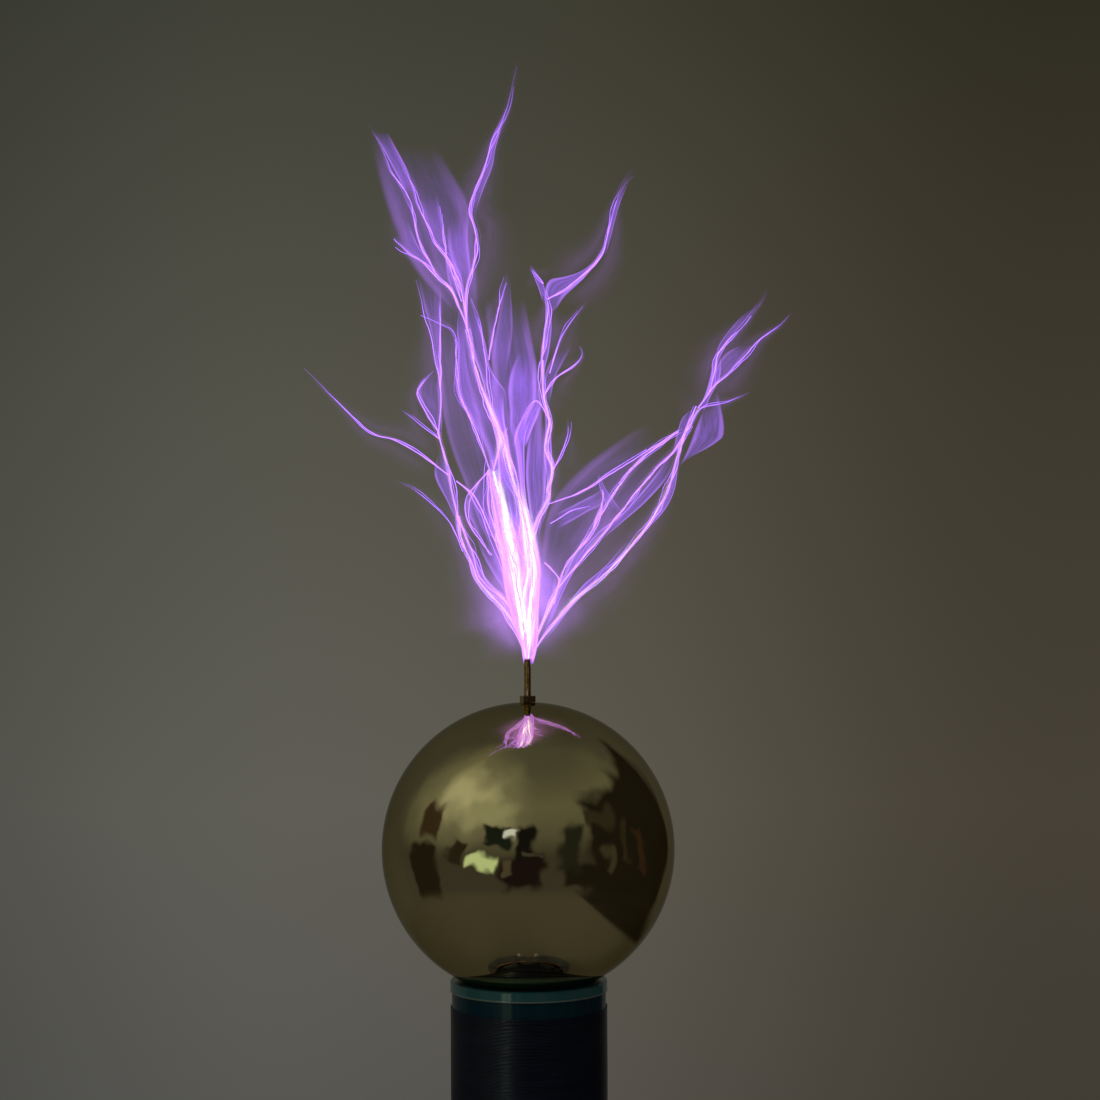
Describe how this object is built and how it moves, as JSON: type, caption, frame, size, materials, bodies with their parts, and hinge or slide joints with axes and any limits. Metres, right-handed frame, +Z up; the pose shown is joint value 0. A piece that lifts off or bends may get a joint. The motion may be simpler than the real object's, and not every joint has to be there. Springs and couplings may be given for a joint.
{
  "type": "resonant coil plasma toy",
  "caption": "Desk high-voltage coil: round base with controls, wound column, polished ball terminal and a discharge pin that throws branching plasma streamers.",
  "frame": {"origin": "centre of the foot ring's underside, on the desk", "axes": "+Z up along the column, +X to the ground terminal, -Y to the front controls"},
  "size_m": [0.2564, 0.1865, 0.7364],
  "materials": {
    "rubber": "black moulded",
    "housing_paint": "fine satin black powder coat",
    "plate_steel": "zinc plated",
    "screw_steel": "nickel plated",
    "panel_aluminium": "black anodised, brushed",
    "knob_aluminium": "turned and anodised",
    "black_plastic": "moulded",
    "button_red": "gloss moulded",
    "lamp_lens": "clear tinted",
    "board": "solder mask",
    "brass": "machined",
    "ball_brass": "mirror polished",
    "sink_aluminium": "extruded",
    "capacitor_sleeve": "shrink sleeve",
    "film_box": "moulded box",
    "ferrite": "wound toroid",
    "glass": "clear",
    "former_acrylic": "smoked acrylic tube",
    "cap_acrylic": "teal acrylic",
    "magnet_wire": "deep blue enamelled copper under clear varnish",
    "socket_plastic": "machined",
    "support_acrylic": "teal acrylic",
    "copper": "bright copper",
    "plasma": "glowing discharge"
  },
  "bodies": {
    "base": {"foot_ring": "rubber", "bottom_plate": "plate_steel", "bottom_screws": "screw_steel", "base_housing": "housing_paint", "front_panel": "panel_aluminium", "panel_screws": "screw_steel", "control_pots": "screw_steel", "pot_nuts": "screw_steel", "audio_jack": "black_plastic", "button_sleeve": "screw_steel", "indicator_lamps": "lamp_lens", "control_board": "board", "rear_panel": "panel_aluminium", "fan_frame": "black_plastic", "fan_guard": "plate_steel", "fan_screws": "screw_steel", "mains_inlet": "black_plastic", "inlet_pins": "brass", "switch_body": "black_plastic", "fuse_holder": "black_plastic", "ground_insulator": "black_plastic", "ground_stud": "brass", "driver_board": "board", "board_posts": "brass", "board_screws": "screw_steel", "heatsink": "sink_aluminium", "power_transistors": "black_plastic", "bus_capacitors": "capacitor_sleeve", "film_capacitors": "film_box", "gate_transformer": "ferrite", "board_chips": "black_plastic", "coil_socket": "socket_plastic", "socket_screws": "screw_steel", "ground_sleeve": "brass", "primary_supports": "support_acrylic", "support_screws": "screw_steel", "primary_coil": "copper", "primary_posts": "brass", "post_nuts": "brass"},
    "column": {"coil_former": "former_acrylic", "secondary_winding": "magnet_wire", "column_foot": "socket_plastic", "ground_plug": "brass", "top_cap": "cap_acrylic", "ball_bolt": "screw_steel"},
    "ball": {"ball_shell": "ball_brass", "ball_bosses": "brass", "pin_locknut": "brass"},
    "pin": {"discharge_pin": "plate_steel", "streamers": "plasma"},
    "power_knob": {"power_knob": "knob_aluminium"},
    "pitch_knob": {"pitch_knob": "knob_aluminium"},
    "button": {"mode_button": "button_red"},
    "rocker": {"rocker": "black_plastic"},
    "fan": {"fan_rotor": "black_plastic"},
    "fuse": {"fuse_cap": "black_plastic", "fuse_glass": "glass", "fuse_ends": "brass"},
    "ground_nut": {"ground_nut": "black_plastic"}
  },
  "joints": [
    {"name": "column_lift", "type": "slide", "parent": "base", "child": "column", "axis": [0, 0, 1], "range_m": [0, 0.06]},
    {"name": "ball_lift", "type": "slide", "parent": "column", "child": "ball", "axis": [0, 0, 1], "range_m": [0, 0.03]},
    {"name": "pin_unscrew", "type": "slide", "parent": "ball", "child": "pin", "axis": [0, 0, 1], "range_m": [0, 0.014]},
    {"name": "power_turn", "type": "hinge", "parent": "base", "child": "power_knob", "pos_m": [-0.023, -0.09, 0.0445], "axis": [0, -1, 0], "range_deg": [-300, 0]},
    {"name": "pitch_turn", "type": "hinge", "parent": "base", "child": "pitch_knob", "pos_m": [0.023, -0.09, 0.0445], "axis": [0, -1, 0], "range_deg": [-150, 150]},
    {"name": "mode_press", "type": "slide", "parent": "base", "child": "button", "axis": [0, 1, 0], "range_m": [0, 0.0015], "stiffness_N_per_m": 300},
    {"name": "rocker_tilt", "type": "hinge", "parent": "base", "child": "rocker", "pos_m": [0.019, 0.0805, 0.0375], "axis": [1, 0, 0], "range_deg": [0, 24]},
    {"name": "fan_spin", "type": "hinge", "parent": "base", "child": "fan", "pos_m": [-0.014, 0.075, 0.0385], "axis": [0, 1, 0], "continuous": true},
    {"name": "fuse_pull", "type": "slide", "parent": "base", "child": "fuse", "axis": [0, 1, 0], "range_m": [0, 0.03]},
    {"name": "ground_nut_turn", "type": "hinge", "parent": "base", "child": "ground_nut", "pos_m": [0.098, 0, 0.023], "axis": [1, 0, 0], "continuous": true}
  ]
}
